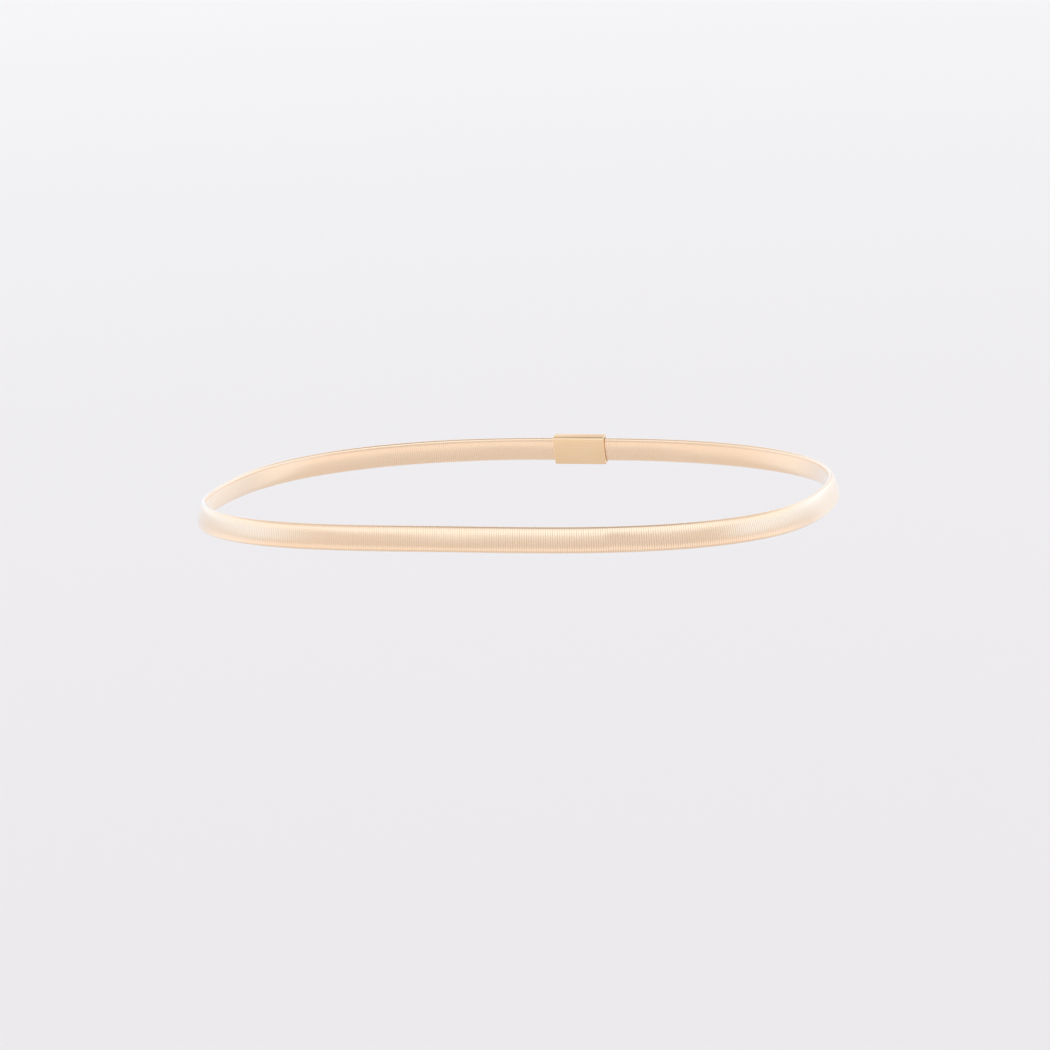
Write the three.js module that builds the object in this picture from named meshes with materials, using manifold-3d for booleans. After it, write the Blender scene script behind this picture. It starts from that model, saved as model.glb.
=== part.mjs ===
// Elastic stretch belt, closed as it is worn round a waist. A flat oval coil of gilt spring wire goes all the
// way round, and a plain sleeve clasp holds the coil's two ends.
// Millimetres, +Z up. The origin is the middle of the waist opening, half way up the coil at the clasp, and
// the clasp is at the middle of the +Y side.
import * as THREE from "three";
import { mergeVertices } from "three/addons/utils/BufferGeometryUtils.js";
import Module from "manifold-3d";

const wasm = await Module();
wasm.setup();

// The waist line that the middle of the coil follows
const waistHalfWidth = 125; // along X
const waistHalfDepth = 93; // along Y
const waistSquareness = 2.5; // exponent of the outline: 2 is an ellipse, and more is squarer
const sideDip = 2.5; // how far the coil sags at its left and right sides
const bodySlope = 14; // degrees that the waist flares by downwards, so that the coil's lower edge stands out

// The coil, wound from one wire into a flat oval tube
const coilHeight = 10;
const coilThickness = 3;
const coilSquareness = 2.6; // exponent of the oval section
const wireThickness = 0.8; // the wall of the tube
const coilOuterSides = 24;
const coilInnerSides = 16;
const coilSteps = 120;

// The clasp, a sleeve with a socket at each end
const claspLength = 22;
const claspWall = 0.9;
const claspCornerRadius = 1.5;
const claspEdgeRadius = 0.45;
const socketDepth = 8;
const socketClearance = 0.3; // between the coil and the socket, at its sides and at its floor
const socketSides = 32;

const gilt = { color: 0xe3c08f, metalness: 1 };

// A closed oval outline, out and up from the middle of the coil
function ovalOutline(halfOut, halfUp, sides) {
  const power = 2 / coilSquareness;
  return Array.from({ length: sides }, (_, i) => {
    const angle = (2 * Math.PI * (i + 0.5)) / sides;
    const [c, s] = [Math.cos(angle), Math.sin(angle)];
    return new THREE.Vector2(
      halfOut * Math.sign(c) * Math.abs(c) ** power,
      halfUp * Math.sign(s) * Math.abs(s) ** power,
    );
  });
}

// The round stretch of the waist line, clockwise seen from above, from the clasp's one end to its other.
// Its +Y half is parted by the length of the clasp, which is straight.
class RoundTheWaist extends THREE.Curve {
  getPoint(t, target = new THREE.Vector3()) {
    const angle = Math.PI / 2 - 2 * Math.PI * t;
    const [c, s] = [Math.cos(angle), Math.sin(angle)];
    const parted = t < 0.25 || t > 0.75 ? claspLength / 2 : 0;
    const side = t < 0.5 ? 1 : -1;
    const reach =
      ((Math.abs(c) / (waistHalfWidth - parted)) ** waistSquareness +
        (Math.abs(s) / waistHalfDepth) ** waistSquareness) **
      (-1 / waistSquareness);
    return target.set(reach * c + side * parted, reach * s, -sideDip * c ** 2);
  }
}

// The whole line of the coil: straight out of one socket, round the waist, and straight into the other
function coilLine() {
  const endX = claspLength / 2 - socketDepth + socketClearance;
  const at = (x) => new THREE.Vector3(x, waistHalfDepth, 0);
  const line = new THREE.CurvePath();
  const round = new RoundTheWaist();
  round.arcLengthDivisions = 2000;
  line.add(new THREE.LineCurve3(at(endX), at(claspLength / 2)));
  line.add(round);
  line.add(new THREE.LineCurve3(at(-claspLength / 2), at(-endX)));
  line.arcLengthDivisions = 2000;
  return line;
}

function makeCoil() {
  const slope = THREE.MathUtils.degToRad(bodySlope);
  // Swept clockwise, a section's x points down and its y outwards.
  const swept = ({ x: out, y: up }) =>
    new THREE.Vector2(
      -(up * Math.cos(slope) + out * Math.sin(slope)),
      out * Math.cos(slope) - up * Math.sin(slope),
    );
  const [halfOut, halfUp] = [coilThickness / 2, coilHeight / 2];
  const section = new THREE.Shape(
    ovalOutline(halfOut, halfUp, coilOuterSides).map(swept),
  );
  const hollow = ovalOutline(
    halfOut - wireThickness,
    halfUp - wireThickness,
    coilInnerSides,
  );
  section.holes.push(new THREE.Path(hollow.map(swept)));
  const geometry = new THREE.ExtrudeGeometry(section, {
    steps: coilSteps,
    extrudePath: coilLine(),
  });
  const material = new THREE.MeshStandardMaterial({ ...gilt, roughness: 0.35 });
  const coil = new THREE.Mesh(geometry, material);
  coil.name = "coil";
  return coil;
}

function roundedRectangle(halfOut, halfUp, radius) {
  const shape = new THREE.Shape();
  const corners = [
    [halfOut - radius, halfUp - radius, 0],
    [-halfOut + radius, halfUp - radius, 1],
    [-halfOut + radius, -halfUp + radius, 2],
    [halfOut - radius, -halfUp + radius, 3],
  ];
  for (const [x, y, quarter] of corners) {
    const start = (quarter * Math.PI) / 2;
    shape.absarc(x, y, radius, start, start + Math.PI / 2, false);
  }
  return shape;
}

function toSolid(geometry) {
  const bare = geometry.clone().deleteAttribute("normal").deleteAttribute("uv");
  const merged = mergeVertices(bare, 1e-4);
  return new wasm.Manifold(
    new wasm.Mesh({
      numProp: 3,
      vertProperties: new Float32Array(merged.attributes.position.array),
      triVerts: new Uint32Array(merged.index.array),
    }),
  );
}

function toGeometry(solid) {
  const { vertProperties, triVerts } = solid.getMesh();
  const geometry = new THREE.BufferGeometry();
  geometry.setAttribute("position", new THREE.BufferAttribute(vertProperties, 3));
  geometry.setIndex(new THREE.BufferAttribute(triVerts, 1));
  return geometry;
}

// Modelled with x outwards, y up and z along the belt, and then turned to the slope of the waist
function makeClasp() {
  const shell = claspWall + socketClearance;
  const [halfOut, halfUp] = [coilThickness / 2, coilHeight / 2];
  const blockShape = roundedRectangle(
    halfOut + shell - claspEdgeRadius,
    halfUp + shell - claspEdgeRadius,
    claspCornerRadius - claspEdgeRadius,
  );
  const block = new THREE.ExtrudeGeometry(blockShape, {
    depth: claspLength - 2 * claspEdgeRadius,
    bevelThickness: claspEdgeRadius,
    bevelSize: claspEdgeRadius,
    bevelSegments: 3,
    curveSegments: 5,
  }).translate(0, 0, claspEdgeRadius - claspLength / 2);

  const mouthOverrun = 1; // the cutter runs past the mouth, for a clean cut
  const socketOutline = ovalOutline(
    halfOut + socketClearance,
    halfUp + socketClearance,
    socketSides,
  );
  const socket = new THREE.ExtrudeGeometry(new THREE.Shape(socketOutline), {
    depth: socketDepth + mouthOverrun,
    bevelEnabled: false,
  });
  const floor = claspLength / 2 - socketDepth;
  const right = socket.clone().translate(0, 0, floor);
  const left = socket.clone().translate(0, 0, -claspLength / 2 - mouthOverrun);
  const solid = toSolid(block).subtract(toSolid(right)).subtract(toSolid(left));

  const slope = THREE.MathUtils.degToRad(bodySlope);
  const outwards = new THREE.Vector3(0, Math.cos(slope), Math.sin(slope));
  const upwards = new THREE.Vector3(0, -Math.sin(slope), Math.cos(slope));
  const along = new THREE.Vector3(1, 0, 0);
  const material = new THREE.MeshStandardMaterial({ ...gilt, roughness: 0.25 });
  const clasp = new THREE.Mesh(toGeometry(solid), material);
  clasp.quaternion.setFromRotationMatrix(
    new THREE.Matrix4().makeBasis(outwards, upwards, along),
  );
  clasp.position.set(0, waistHalfDepth, 0);
  clasp.name = "clasp";
  return clasp;
}

const belt = new THREE.Group();
belt.name = "stretch_belt";
belt.add(makeCoil(), makeClasp());

export default belt;
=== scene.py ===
import math

import bpy
import numpy as np
from mathutils import Matrix, Vector


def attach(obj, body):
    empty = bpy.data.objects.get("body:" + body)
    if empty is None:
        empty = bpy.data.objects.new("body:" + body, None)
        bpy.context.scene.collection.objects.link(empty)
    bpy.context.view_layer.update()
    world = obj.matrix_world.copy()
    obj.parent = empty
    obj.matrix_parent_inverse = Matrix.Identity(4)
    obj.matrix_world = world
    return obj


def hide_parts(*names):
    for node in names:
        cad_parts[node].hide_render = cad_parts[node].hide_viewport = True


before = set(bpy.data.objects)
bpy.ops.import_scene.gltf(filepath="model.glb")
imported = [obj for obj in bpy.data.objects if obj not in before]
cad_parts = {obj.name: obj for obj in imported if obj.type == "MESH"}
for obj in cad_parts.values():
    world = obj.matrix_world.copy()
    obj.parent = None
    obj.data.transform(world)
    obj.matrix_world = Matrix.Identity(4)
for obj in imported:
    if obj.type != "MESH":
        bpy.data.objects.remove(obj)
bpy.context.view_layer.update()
mm = 0.001  # everything in the scene is in metres
print("frame loaded:", ", ".join(sorted(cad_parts)))


# the camera, as the photograph was taken
photoView = {
    "azimuth": 17.18,  # all three in degrees, this one towards +X from straight ahead
    "elevation": 11.17,
    "roll": 2.74,
    "distance": 1.8,  # metres
    "spanAtBelt": 417.7 * mm,  # what the square picture takes in, at the middle of the belt
    "aimAcross": 3.4 * mm,  # the picture's middle, off the middle of the belt
    "aimUp": -13.2 * mm,
    "sensorWidth": 36,  # mm, as the lens is
}


def addCamera():
    azimuth = math.radians(photoView["azimuth"])
    elevation = math.radians(photoView["elevation"])
    roll = math.radians(photoView["roll"])
    back = Vector((
        math.sin(azimuth) * math.cos(elevation),
        -math.cos(azimuth) * math.cos(elevation),
        math.sin(elevation),
    ))
    level = Vector((math.cos(azimuth), math.sin(azimuth), 0))
    upright = back.cross(level)
    across = level * math.cos(roll) - upright * math.sin(roll)
    up = level * math.sin(roll) + upright * math.cos(roll)

    data = bpy.data.cameras.new("camera")
    data.sensor_width = photoView["sensorWidth"]
    data.lens = photoView["sensorWidth"] * photoView["distance"] / photoView["spanAtBelt"]
    camera = bpy.data.objects.new("camera", data)
    place = back * photoView["distance"] + across * photoView["aimAcross"] + up * photoView["aimUp"]
    camera.matrix_world = Matrix.Translation(place) @ Matrix((across, up, back)).transposed().to_4x4()
    bpy.context.scene.collection.objects.link(camera)
    bpy.context.scene.camera = camera


addCamera()
print("camera placed")


# colours are given as sRGB hex, and the nodes want linear
def linearColour(hexColour):
    parts = [int(hexColour[i:i + 2], 16) / 255 for i in (1, 3, 5)]
    return [p / 12.92 if p <= 0.04045 else ((p + 0.055) / 1.055) ** 2.4 for p in parts] + [1]


# adds a node: names of sockets start with a capital or are numbers, names of properties don't
def addNode(tree, kind, settings=None, links=None):
    node = tree.nodes.new(kind)
    for name, value in (settings or {}).items():
        if isinstance(name, int) or name[0].isupper():
            node.inputs[name].default_value = value
        else:
            setattr(node, name, value)
    for name, source in (links or {}).items():
        tree.links.new(source, node.inputs[name])
    return node


def newMaterial(name):
    material = bpy.data.materials.new(name)
    material.use_nodes = True
    material.node_tree.nodes.clear()
    return material, material.node_tree


# plating of uneven thickness: its tone wanders between two golds
def wanderingGold(tree, finish, place):
    clouds = addNode(
        tree,
        "ShaderNodeTexNoise",
        {"Scale": 1 / finish["cloudSize"], "Detail": finish["cloudDetail"]},
        {"Vector": place.outputs["Object"]},
    )
    gold, paleGold = linearColour(finish["gold"]), linearColour(finish["paleGold"])
    toned = addNode(
        tree, "ShaderNodeMix", {"data_type": "RGBA", 6: gold, 7: paleGold}, {0: clouds.outputs["Fac"]}
    )
    return toned.outputs[2]


# fine lines left by working the metal, long one way and narrow the other, and the uneven gloss that they give
def workedLines(tree, finish, vector, scale, detail, depth):
    stretched = addNode(tree, "ShaderNodeMapping", {"Scale": scale}, {"Vector": vector})
    lines = addNode(
        tree, "ShaderNodeTexNoise", {"Scale": 1, "Detail": detail}, {"Vector": stretched.outputs["Vector"]}
    )
    spread = finish["roughnessSpread"]
    roughness = addNode(
        tree,
        "ShaderNodeMapRange",
        {"To Min": finish["roughness"] - spread, "To Max": finish["roughness"] + spread},
        {"Value": lines.outputs["Fac"]},
    )
    bump = addNode(tree, "ShaderNodeBump", {"Distance": depth}, {"Height": lines.outputs["Fac"]})
    return roughness.outputs["Result"], bump.outputs["Normal"]


# spring steel wire, drawn through a die, electroplated pale gold and lacquered clear: a close gloss drawn out
# along the wire, which the lacquer whitens where it is seen at a slant, and painted shade down between the
# turns: a darker, warmer gold there
platedWire = {
    "gold": "#fadbb8",
    "paleGold": "#fde1c3",  # where the plating is thickest
    # painted shade: the darker, warmer gold down between the turns, where they shade each other
    "grooveShadeGold": "#f3cfa5",
    "grooveShadeStart": 0.2,  # counted from -1 at the wire's crest to 1 at its side
    "grooveShadeStrength": 0.8,
    "roughness": 0.2,
    "roughnessSpread": 0.03,
    "drawLineWidth": 0.25 * mm,  # real ones are about 0.02, and are drawn coarser so that they show
    "drawLineLength": 6 * mm,
    "drawLineDepth": 0.0015 * mm,
    "drawLineDetail": 2,
    "cloudSize": 35 * mm,  # the tone wanders along the belt
    "cloudDetail": 3,
    "lacquerGloss": 0.1,  # its roughness
}


def makePlatedWire():
    finish = platedWire
    material, tree = newMaterial("platedWire")
    place = addNode(tree, "ShaderNodeTexCoord")
    wireMap = addNode(tree, "ShaderNodeUVMap", {"uv_map": "alongWire"})
    gold = wanderingGold(tree, finish, place)

    # the map's second direction runs round the wire from 0 to 1, with the crest at 0.25 and 0.75
    split = addNode(tree, "ShaderNodeSeparateXYZ", links={0: wireMap.outputs["UV"]})
    turned = addNode(
        tree, "ShaderNodeMath", {"operation": "MULTIPLY", 1: 4 * math.pi}, {0: split.outputs["Y"]}
    )
    swing = addNode(tree, "ShaderNodeMath", {"operation": "COSINE"}, {0: turned.outputs[0]})
    # painted shade: the colour turns to the darker gold towards the wire's sides, down between the turns
    shadeInGroove = addNode(
        tree,
        "ShaderNodeMapRange",
        {
            "interpolation_type": "SMOOTHSTEP",
            "From Min": finish["grooveShadeStart"],
            "To Max": finish["grooveShadeStrength"],
        },
        {"Value": swing.outputs[0]},
    )
    colour = addNode(
        tree,
        "ShaderNodeMix",
        {"data_type": "RGBA", 7: linearColour(finish["grooveShadeGold"])},
        {0: shadeInGroove.outputs["Result"], 6: gold},
    )

    # the map's first direction is in mm along the wire
    scale = (mm / finish["drawLineLength"], wire["girth"] / finish["drawLineWidth"], 1)
    roughness, normal = workedLines(
        tree, finish, wireMap.outputs["UV"], scale, finish["drawLineDetail"], finish["drawLineDepth"]
    )
    shader = addNode(
        tree,
        "ShaderNodeBsdfPrincipled",
        {"Metallic": 1, "Coat Weight": 1, "Coat Roughness": finish["lacquerGloss"]},
        {"Base Color": colour.outputs[2], "Roughness": roughness, "Normal": normal},
    )
    addNode(tree, "ShaderNodeOutputMaterial", links={"Surface": shader.outputs["BSDF"]})
    return material


# the line that the middle of the coil takes round the waist
waistLine = {
    "halfWidth": 125 * mm,
    "halfDepth": 93 * mm,
    "squareness": 2.5,  # 2 is an ellipse, and more is squarer
    "sideDip": 2.5 * mm,
    "samples": 20001,  # points round the waist
    "socketSamples": 200,  # and along each end that is inside the clasp
}

# how the coil lies on the waist
coilLie = {
    "slope": 14,  # degrees that its lower edge stands out by
    "wander": (0.9, 0.6, 0.4),  # degrees that the slope wanders by
    "wanderLength": (190 * mm, 83 * mm, 41 * mm),
    "wanderStart": 10,  # radians for each degree of wander, so that the waves don't start together
    "catchAt": 294 * mm,  # from the coil's start: the coil has caught and turned a little here
    "catchTurn": 4.2,  # degrees
    "catchWidth": 1.6 * mm,
    "catchFade": 16 * mm,
}

coil = {
    "height": 10 * mm,
    "thickness": 3 * mm,
    "squareness": 2.6,
    "pitch": 0.9 * mm,
    "stepsPerTurn": 30,
    "ovalSamples": 4001,  # points round the oval that the steps are picked from
    "bendShare": 0.5,  # how far the steps gather at the tight bends
    "runs": ("coil_right_rear", "coil_right_front", "coil_left_front", "coil_left_rear"),
}

# the wire is rolled a little flat, so that its crests meet the light as one face
wire = {
    "width": 0.87 * mm,  # along the belt
    "thickness": 0.8 * mm,
    "squareness": 11,
    "crestPoints": (0.98, 0.93, 0.8, 0.5),  # shares of the half width: they gather at the shoulders
    "backPoint": 0.98,
    "girth": 3 * mm,  # once round the wire
}

clasp = {
    "length": 22 * mm,
    "wall": 0.9 * mm,
    "cornerRadius": 1.5 * mm,
    "edgeRadius": 0.45 * mm,
    "socketDepth": 8 * mm,
    "socketClearance": 0.3 * mm,
    "outlinePoints": 64,
    "edgeSteps": 5,
    "sharpAngle": 50,  # degrees: a steeper edge is drawn sharp
}


# a closed oval: out and up from its middle
def oval(angles, halfOut, halfUp, squareness):
    c, s = np.cos(angles), np.sin(angles)
    power = 2 / squareness
    return halfOut * np.sign(c) * np.abs(c) ** power, halfUp * np.sign(s) * np.abs(s) ** power


# the middle of the coil, clockwise from above, out of the clasp's one socket and into its other
def coilLine():
    shape = waistLine
    share = np.linspace(0, 1, shape["samples"])
    angle = np.pi / 2 - 2 * np.pi * share
    c, s = np.cos(angle), np.sin(angle)
    # the half by the clasp is parted by the clasp's length
    parted = np.where((share < 0.25) | (share > 0.75), clasp["length"] / 2, 0)
    side = np.where(share < 0.5, 1, -1)
    power = shape["squareness"]
    across = np.abs(c) / (shape["halfWidth"] - parted)
    along = np.abs(s) / shape["halfDepth"]
    reach = (across ** power + along ** power) ** (-1 / power)
    loop = np.stack([reach * c + side * parted, reach * s, -shape["sideDip"] * c ** 2], axis=1)

    mouth = clasp["length"] / 2
    count = shape["socketSamples"]
    x = np.linspace(mouth - clasp["socketDepth"] + clasp["socketClearance"], mouth, count)
    inSocket = np.stack([x, np.full(count, shape["halfDepth"]), np.zeros(count)], axis=1)[:-1]
    mirrored = inSocket[::-1] * (-1, 1, 1)
    return np.concatenate([inSocket, loop, mirrored])


# the coil's slope in radians at each distance along it
def slopeAt(distance):
    lie = coilLie
    slope = np.full_like(distance, lie["slope"])
    for size, length in zip(lie["wander"], lie["wanderLength"]):
        slope += size * np.sin(2 * np.pi * distance / length + lie["wanderStart"] * size)
    behind = lie["catchAt"] - distance
    before = 0.5 * (1 + np.tanh(behind / lie["catchWidth"]))
    slope -= lie["catchTurn"] * before * np.exp(-np.maximum(behind, 0) / lie["catchFade"])
    return np.radians(slope)


# once round the oval, with the steps gathered at its tight top and bottom
def ovalSteps(halfOut, halfUp):
    angles = np.linspace(0, 2 * np.pi, coil["ovalSamples"])
    out, up = oval(angles, halfOut, halfUp, coil["squareness"])
    stepOut, stepUp = np.diff(out), np.diff(up)
    length = np.hypot(stepOut, stepUp)
    heading = np.unwrap(np.arctan2(stepUp, stepOut))
    bend = np.abs(np.diff(heading, append=heading[-1]))
    share = coil["bendShare"]
    weight = (1 - share) * length / length.sum() + share * bend / bend.sum()
    passed = np.concatenate([[0], np.cumsum(weight)])
    wanted = np.linspace(0, passed[-1], coil["stepsPerTurn"] + 1)[:-1]
    return np.interp(wanted, passed, out), np.interp(wanted, passed, up)


# the wire's outline, across it and off its middle, from one side over the crest to the other and back, with
# how far round it each point is, and which way the surface faces there
def wireSection():
    power = wire["squareness"]

    def lift(share):
        return (1 - share ** power) ** (1 / power)

    crest = [(share, lift(share)) for share in wire["crestPoints"]]
    back = wire["backPoint"]
    outline = [*crest, (0, 1), *[(-x, y) for x, y in reversed(crest)]]
    outline += [(-back, -lift(back)), (0, -1), (back, -lift(back))]
    across, off = np.array(outline, float).T
    turn = np.unwrap(np.arctan2(off, across)) / (2 * np.pi)
    faceAcross = np.sign(across) * np.abs(across) ** (power - 1) / wire["width"]
    faceOff = np.sign(off) * np.abs(off) ** (power - 1) / wire["thickness"]
    facing = unit(np.stack([faceAcross, faceOff], axis=1))
    return across * wire["width"] / 2, off * wire["thickness"] / 2, turn, facing


def unit(vectors):
    return vectors / np.linalg.norm(vectors, axis=-1, keepdims=True)


# one closed mesh of rings joined in a row: rings is ring by point by xyz, facing is which way the surface
# faces at each point, and mapping is how far along the wire each ring is, and how far round it each point is
def loftRings(name, rings, material, facing=None, mapping=None):
    ringCount, points = rings.shape[:2]
    ring = np.arange(ringCount - 1)[:, None] * points
    here = np.arange(points)[None, :]
    ahead = (here + 1) % points
    quads = np.stack([ring + here, ring + ahead, ring + points + ahead, ring + points + here], axis=-1)
    firstCap = list(range(points))[::-1]
    lastCap = list(range((ringCount - 1) * points, ringCount * points))
    mesh = bpy.data.meshes.new(name)
    mesh.from_pydata(rings.reshape(-1, 3).tolist(), [], quads.reshape(-1, 4).tolist() + [firstCap, lastCap])
    smooth = [True] * (len(mesh.polygons) - 2) + [False] * 2  # the caps are flat
    mesh.polygons.foreach_set("use_smooth", smooth)
    mesh.materials.append(material)
    if facing is not None:
        mesh.normals_split_custom_set_from_vertices(facing.reshape(-1, 3).tolist())
    if mapping is not None:
        layer = mesh.uv_layers.new(name="alongWire")
        along, turn = mapping
        turn = np.append(turn, turn[0] + 1)
        ringEnds = np.stack([along[:-1], along[:-1], along[1:], along[1:]], axis=-1)
        sideEnds = np.stack([turn[:-1], turn[1:], turn[1:], turn[:-1]], axis=-1)
        u = np.broadcast_to(ringEnds[:, None, :], (ringCount - 1, points, 4))
        v = np.broadcast_to(sideEnds[None, :, :], (ringCount - 1, points, 4))
        sides = np.stack([u, v], axis=-1).reshape(-1)
        caps = np.zeros(2 * points * 2)  # two caps, which don't show and need no place on the map
        layer.data.foreach_set("uv", np.concatenate([sides, caps]).astype(np.float32))
    piece = bpy.data.objects.new(name, mesh)
    bpy.context.scene.collection.objects.link(piece)
    return piece


def windCoil():
    line = coilLine()
    lineStep = np.linalg.norm(np.diff(line, axis=0), axis=1)
    passed = np.concatenate([[0], np.cumsum(lineStep)])
    length = passed[-1]
    turns = round(length / coil["pitch"])
    steps = turns * coil["stepsPerTurn"]
    distance = np.linspace(wire["width"] / 2, length - wire["width"] / 2, steps + 1)

    middle = np.stack([np.interp(distance, passed, line[:, i]) for i in range(3)], axis=1)
    lineHeading = unit(np.gradient(line, axis=0))
    heading = unit(np.stack([np.interp(distance, passed, lineHeading[:, i]) for i in range(3)], axis=1))
    outwards = unit(np.cross((0, 0, 1), heading))
    upwards = np.cross(heading, outwards)
    slope = slopeAt(distance)[:, None]
    faceOut = outwards * np.cos(slope) + upwards * np.sin(slope)
    faceUp = upwards * np.cos(slope) - outwards * np.sin(slope)

    out, up = ovalSteps((coil["thickness"] - wire["thickness"]) / 2, (coil["height"] - wire["thickness"]) / 2)
    place = np.arange(steps + 1) % coil["stepsPerTurn"]
    strand = middle + faceOut * out[place, None] + faceUp * up[place, None]

    run = unit(np.gradient(strand, axis=0))
    along = unit(heading - run * np.sum(heading * run, axis=1, keepdims=True))
    crest = np.cross(run, along)
    acrossWire, offWire, turn, sectionFacing = wireSection()
    rings = (
        strand[:, None]
        + along[:, None] * acrossWire[None, :, None]
        + crest[:, None] * offWire[None, :, None]
    )
    facing = along[:, None] * sectionFacing[None, :, :1] + crest[:, None] * sectionFacing[None, :, 1:]
    wireLength = np.concatenate([[0], np.cumsum(np.linalg.norm(np.diff(strand, axis=0), axis=1))]) / mm

    # the runs meet half way through a turn, on the coil's inner side
    finish = makePlatedWire()
    runCount = len(coil["runs"])
    joins = [int((turns * i // runCount + 0.5) * coil["stepsPerTurn"]) for i in range(1, runCount)]
    ends = [0, *joins, steps]
    for name, first, last in zip(coil["runs"], ends, ends[1:]):
        part = slice(first, last + 1)
        piece = loftRings(name, rings[part], finish, facing[part], (wireLength[part], turn))
        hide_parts("coil")
        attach(piece, "root")
    print(f"coil wound: {turns} turns, {wireLength[-1] / 1000:.1f} m of wire")


windCoil()


# zinc alloy, die cast, brushed along its length and electroplated pale gold: a softer gloss than the wire's,
# with fine lines that run along the belt
brushedPlate = {
    "gold": "#f4cfa3",
    "paleGold": "#fadcb8",
    "roughness": 0.27,
    "roughnessSpread": 0.1,
    "brushLineWidth": 0.45 * mm,  # real ones are about 0.03, and are drawn coarser so that they show
    "brushLineLength": 70 * mm,
    "brushLineDepth": 0.008 * mm,
    "brushLineDetail": 1,
    "cloudSize": 12 * mm,
    "cloudDetail": 3,
}


def makeBrushedPlate():
    finish = brushedPlate
    material, tree = newMaterial("brushedPlate")
    place = addNode(tree, "ShaderNodeTexCoord")
    gold = wanderingGold(tree, finish, place)
    acrossLines = 1 / finish["brushLineWidth"]
    scale = (1 / finish["brushLineLength"], acrossLines, acrossLines)
    roughness, normal = workedLines(
        tree, finish, place.outputs["Object"], scale, finish["brushLineDetail"], finish["brushLineDepth"]
    )
    shader = addNode(
        tree,
        "ShaderNodeBsdfPrincipled",
        {"Metallic": 1},
        {"Base Color": gold, "Roughness": roughness, "Normal": normal},
    )
    addNode(tree, "ShaderNodeOutputMaterial", links={"Surface": shader.outputs["BSDF"]})
    return material


# a rectangle with round corners: out and up from its middle
def roundedOutline(angles, halfOut, halfUp, radius):
    quarter = np.floor(angles / (np.pi / 2))
    c, s = np.cos(angles), np.sin(angles)
    cornerOut = np.where((quarter == 0) | (quarter == 3), 1, -1) * (halfOut - radius)
    cornerUp = np.where(quarter < 2, 1, -1) * (halfUp - radius)
    return cornerOut + radius * c, cornerUp + radius * s


def makeClasp():
    shell = clasp["wall"] + clasp["socketClearance"]
    halfOut, halfUp = coil["thickness"] / 2, coil["height"] / 2
    edge = clasp["edgeRadius"]
    halfLength = clasp["length"] / 2
    angles = 2 * np.pi * (np.arange(clasp["outlinePoints"]) + 0.5) / clasp["outlinePoints"]
    socket = oval(
        angles, halfOut + clasp["socketClearance"], halfUp + clasp["socketClearance"], coil["squareness"]
    )
    floor = halfLength - clasp["socketDepth"]

    # the left half, from the socket's floor out to the mouth, and over the rounded lip to the outside
    half = [(-floor, socket), (-halfLength, socket)]
    for i in range(clasp["edgeSteps"] + 1):
        turn = math.pi / 2 * i / clasp["edgeSteps"]
        inset = edge * (1 - math.sin(turn))
        outer = [size - inset for size in (halfOut + shell, halfUp + shell, clasp["cornerRadius"])]
        lip = roundedOutline(angles, *outer)
        half.append((edge * (1 - math.cos(turn)) - halfLength, lip))
    other = [(-along, outline) for along, outline in reversed(half)]
    slope = math.radians(coilLie["slope"])
    outwards = np.array((0, math.cos(slope), math.sin(slope)))
    upwards = np.array((0, -math.sin(slope), math.cos(slope)))
    centre = np.array((0, waistLine["halfDepth"], 0))
    rings = np.array([
        centre + along * np.array((1, 0, 0)) + outline[0][:, None] * outwards + outline[1][:, None] * upwards
        for along, outline in half + other
    ])
    piece = loftRings("sleeve_clasp", rings, makeBrushedPlate())
    piece.data.set_sharp_from_angle(angle=math.radians(clasp["sharpAngle"]))
    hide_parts("clasp")
    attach(piece, "root")
    print("clasp made")


makeClasp()


# painted board, rolled matt: a pale floor with no gloss, well below the belt
studioFloor = {
    "drop": 750 * mm,
    "size": 60,  # metres
    # the board's tone is painted shade: darker near the belt and paler far off, not a paint the board has
    "nearTone": "#f0e6e0",  # under the belt
    "farTone": "#fbf2eb",
    "near": 1.5,  # metres from the middle of the belt
    "far": 12,
    "roughness": 0.9,
    "specular": 0.2,
}


def makeFloor():
    board = studioFloor
    material, tree = newMaterial("mattBoard")
    place = addNode(tree, "ShaderNodeTexCoord")
    # painted shade: the board's tone pales with distance from the belt
    distance = addNode(tree, "ShaderNodeVectorMath", {"operation": "LENGTH"}, {0: place.outputs["Object"]})
    farness = addNode(
        tree,
        "ShaderNodeMapRange",
        {"From Min": board["near"], "From Max": board["far"]},
        {"Value": distance.outputs["Value"]},
    )
    colour = addNode(
        tree,
        "ShaderNodeMix",
        {"data_type": "RGBA", 6: linearColour(board["nearTone"]), 7: linearColour(board["farTone"])},
        {0: farness.outputs["Result"]},
    )
    shader = addNode(
        tree,
        "ShaderNodeBsdfPrincipled",
        {"Roughness": board["roughness"], "Specular IOR Level": board["specular"]},
        {"Base Color": colour.outputs[2]},
    )
    addNode(tree, "ShaderNodeOutputMaterial", links={"Surface": shader.outputs["BSDF"]})

    half = board["size"] / 2
    mesh = bpy.data.meshes.new("studioFloor")
    corners = [(-half, -half), (half, -half), (half, half), (-half, half)]
    mesh.from_pydata([(x, y, -board["drop"]) for x, y in corners], [], [(0, 1, 2, 3)])
    mesh.materials.append(material)
    floor = bpy.data.objects.new("studioFloor", mesh)
    floor.visible_glossy = False  # the metal reflects the room's own light below it
    bpy.context.scene.collection.objects.link(floor)


# a wide soft lamp straight overhead, for the floor alone: the metal doesn't reflect it
floorLamp = {"colour": "#c7e8ff", "strength": 0.41, "angle": 60}  # how wide it is, in degrees


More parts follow.
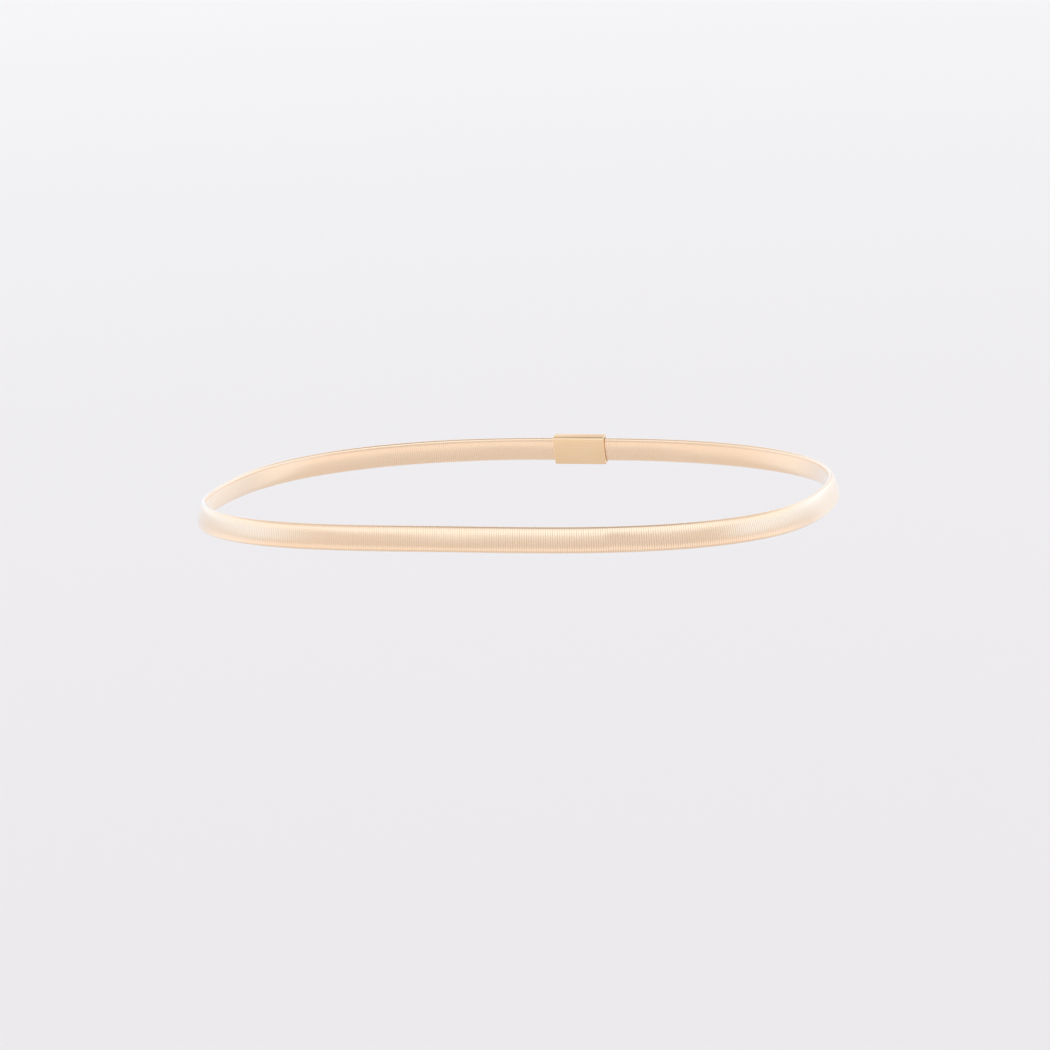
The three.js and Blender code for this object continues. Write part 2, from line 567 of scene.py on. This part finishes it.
def lightFloor():
    light = bpy.data.lights.new("floorLamp", "SUN")
    light.color = linearColour(floorLamp["colour"])[:3]
    light.energy = floorLamp["strength"]
    light.angle = math.radians(floorLamp["angle"])
    lamp = bpy.data.objects.new("floorLamp", light)
    lamp.visible_glossy = False
    bpy.context.scene.collection.objects.link(lamp)


# the room is one soft surround with bands of light in it. Angles are in degrees, azimuths are as the
# camera's, and a band without an azimuth goes all the way round. Spread is to each side of the azimuth, and
# soft and fade are how far the light takes to die away, up and down and sideways.
roomLight = {
    "colour": "#eeecee",
    "strength": 0.55,
    "backdrop": "#f7f7f9",  # what the camera sees past the floor, as pale as the floor
}
glowBands = [
    # the walls and the low room, brighter than the ceiling
    {"colour": "#eeecee", "strength": 0.43, "high": 66, "soft": 10},
    # soft light from above eye level, for the highlight along the belt's upper half. Higher up it is at the
    # front alone, so that the rim keeps its gold towards the two ends.
    {"colour": "#c7e8ff", "strength": 0.58, "low": 21, "high": 34, "soft": 7},
    {"colour": "#c7e8ff", "strength": 0.58, "low": 34, "high": 55, "soft": 7,
     "azimuth": 20, "spread": 70, "fade": 20},
    # a paler stretch below, for the light line along its lower edge
    {"colour": "#ffffff", "strength": 0.22, "low": -32, "high": -4, "soft": 6,
     "azimuth": 10, "spread": 125, "fade": 18},
    # cool daylight from beyond the belt's left and right ends
    {"colour": "#9bd2ff", "strength": 0.52, "low": 3, "high": 20, "soft": 6,
     "azimuth": -110, "spread": 58, "fade": 12},
    {"colour": "#9bd2ff", "strength": 0.56, "low": 3, "high": 21, "soft": 6,
     "azimuth": 122, "spread": 49, "fade": 12},
    {"colour": "#6cbcff", "strength": 0.16, "low": -35, "high": 17, "soft": 6,
     "azimuth": -112, "spread": 46, "fade": 12},
    {"colour": "#6cbcff", "strength": 0.16, "low": -35, "high": 17, "soft": 6,
     "azimuth": 125, "spread": 42, "fade": 12},
    # and a little more from straight behind
    {"colour": "#f2fff8", "strength": 0.16, "low": -25, "high": 17, "soft": 6,
     "azimuth": 176, "spread": 24, "fade": 12},
]


def lightStudio():
    world = bpy.data.worlds.new("room")
    world.use_nodes = True
    tree = world.node_tree
    tree.nodes.clear()
    direction = addNode(tree, "ShaderNodeTexCoord").outputs["Generated"]
    height = addNode(tree, "ShaderNodeSeparateXYZ", links={0: direction}).outputs["Z"]
    start = [c * roomLight["strength"] for c in linearColour(roomLight["colour"])[:3]]
    glow = addNode(tree, "ShaderNodeCombineXYZ", {0: start[0], 1: start[1], 2: start[2]}).outputs[0]
    for band in glowBands:
        degrees = {name: value for name, value in band.items() if name not in ("colour", "strength")}
        angle = {name: math.radians(value) for name, value in degrees.items()}
        soft = angle["soft"]
        edges = []
        if "low" in band:
            edges.append((height, math.sin(angle["low"] - soft), math.sin(angle["low"] + soft)))
        if "high" in band:
            edges.append((height, math.sin(angle["high"] + soft), math.sin(angle["high"] - soft)))
        if "azimuth" in band:
            azimuth, spread, fade = angle["azimuth"], angle["spread"], angle["fade"]
            facing = addNode(
                tree,
                "ShaderNodeVectorMath",
                {"operation": "DOT_PRODUCT", 1: (math.sin(azimuth), -math.cos(azimuth), 0)},
                {0: direction},
            )
            edges.append((facing.outputs["Value"], math.cos(spread + fade), math.cos(spread - fade)))
        light = [c * band["strength"] for c in linearColour(band["colour"])[:3]]
        part = addNode(tree, "ShaderNodeCombineXYZ", {0: light[0], 1: light[1], 2: light[2]}).outputs[0]
        for value, dark, bright in edges:
            mask = addNode(
                tree,
                "ShaderNodeMapRange",
                {"interpolation_type": "SMOOTHSTEP", "From Min": dark, "From Max": bright},
                {"Value": value},
            )
            part = addNode(
                tree,
                "ShaderNodeVectorMath",
                {"operation": "MULTIPLY"},
                {0: part, 1: mask.outputs["Result"]},
            ).outputs[0]
        glow = addNode(tree, "ShaderNodeVectorMath", {"operation": "ADD"}, {0: glow, 1: part}).outputs[0]
    path = addNode(tree, "ShaderNodeLightPath")
    seen = addNode(
        tree,
        "ShaderNodeMix",
        {"data_type": "RGBA", 7: linearColour(roomLight["backdrop"])},
        {0: path.outputs["Is Camera Ray"], 6: glow},
    )
    background = addNode(tree, "ShaderNodeBackground", links={"Color": seen.outputs[2]})
    addNode(tree, "ShaderNodeOutputWorld", links={"Surface": background.outputs["Background"]})
    bpy.context.scene.world = world
    bpy.context.scene.view_settings.view_transform = "Standard"


makeFloor()
lightFloor()
lightStudio()
print("studio lit")
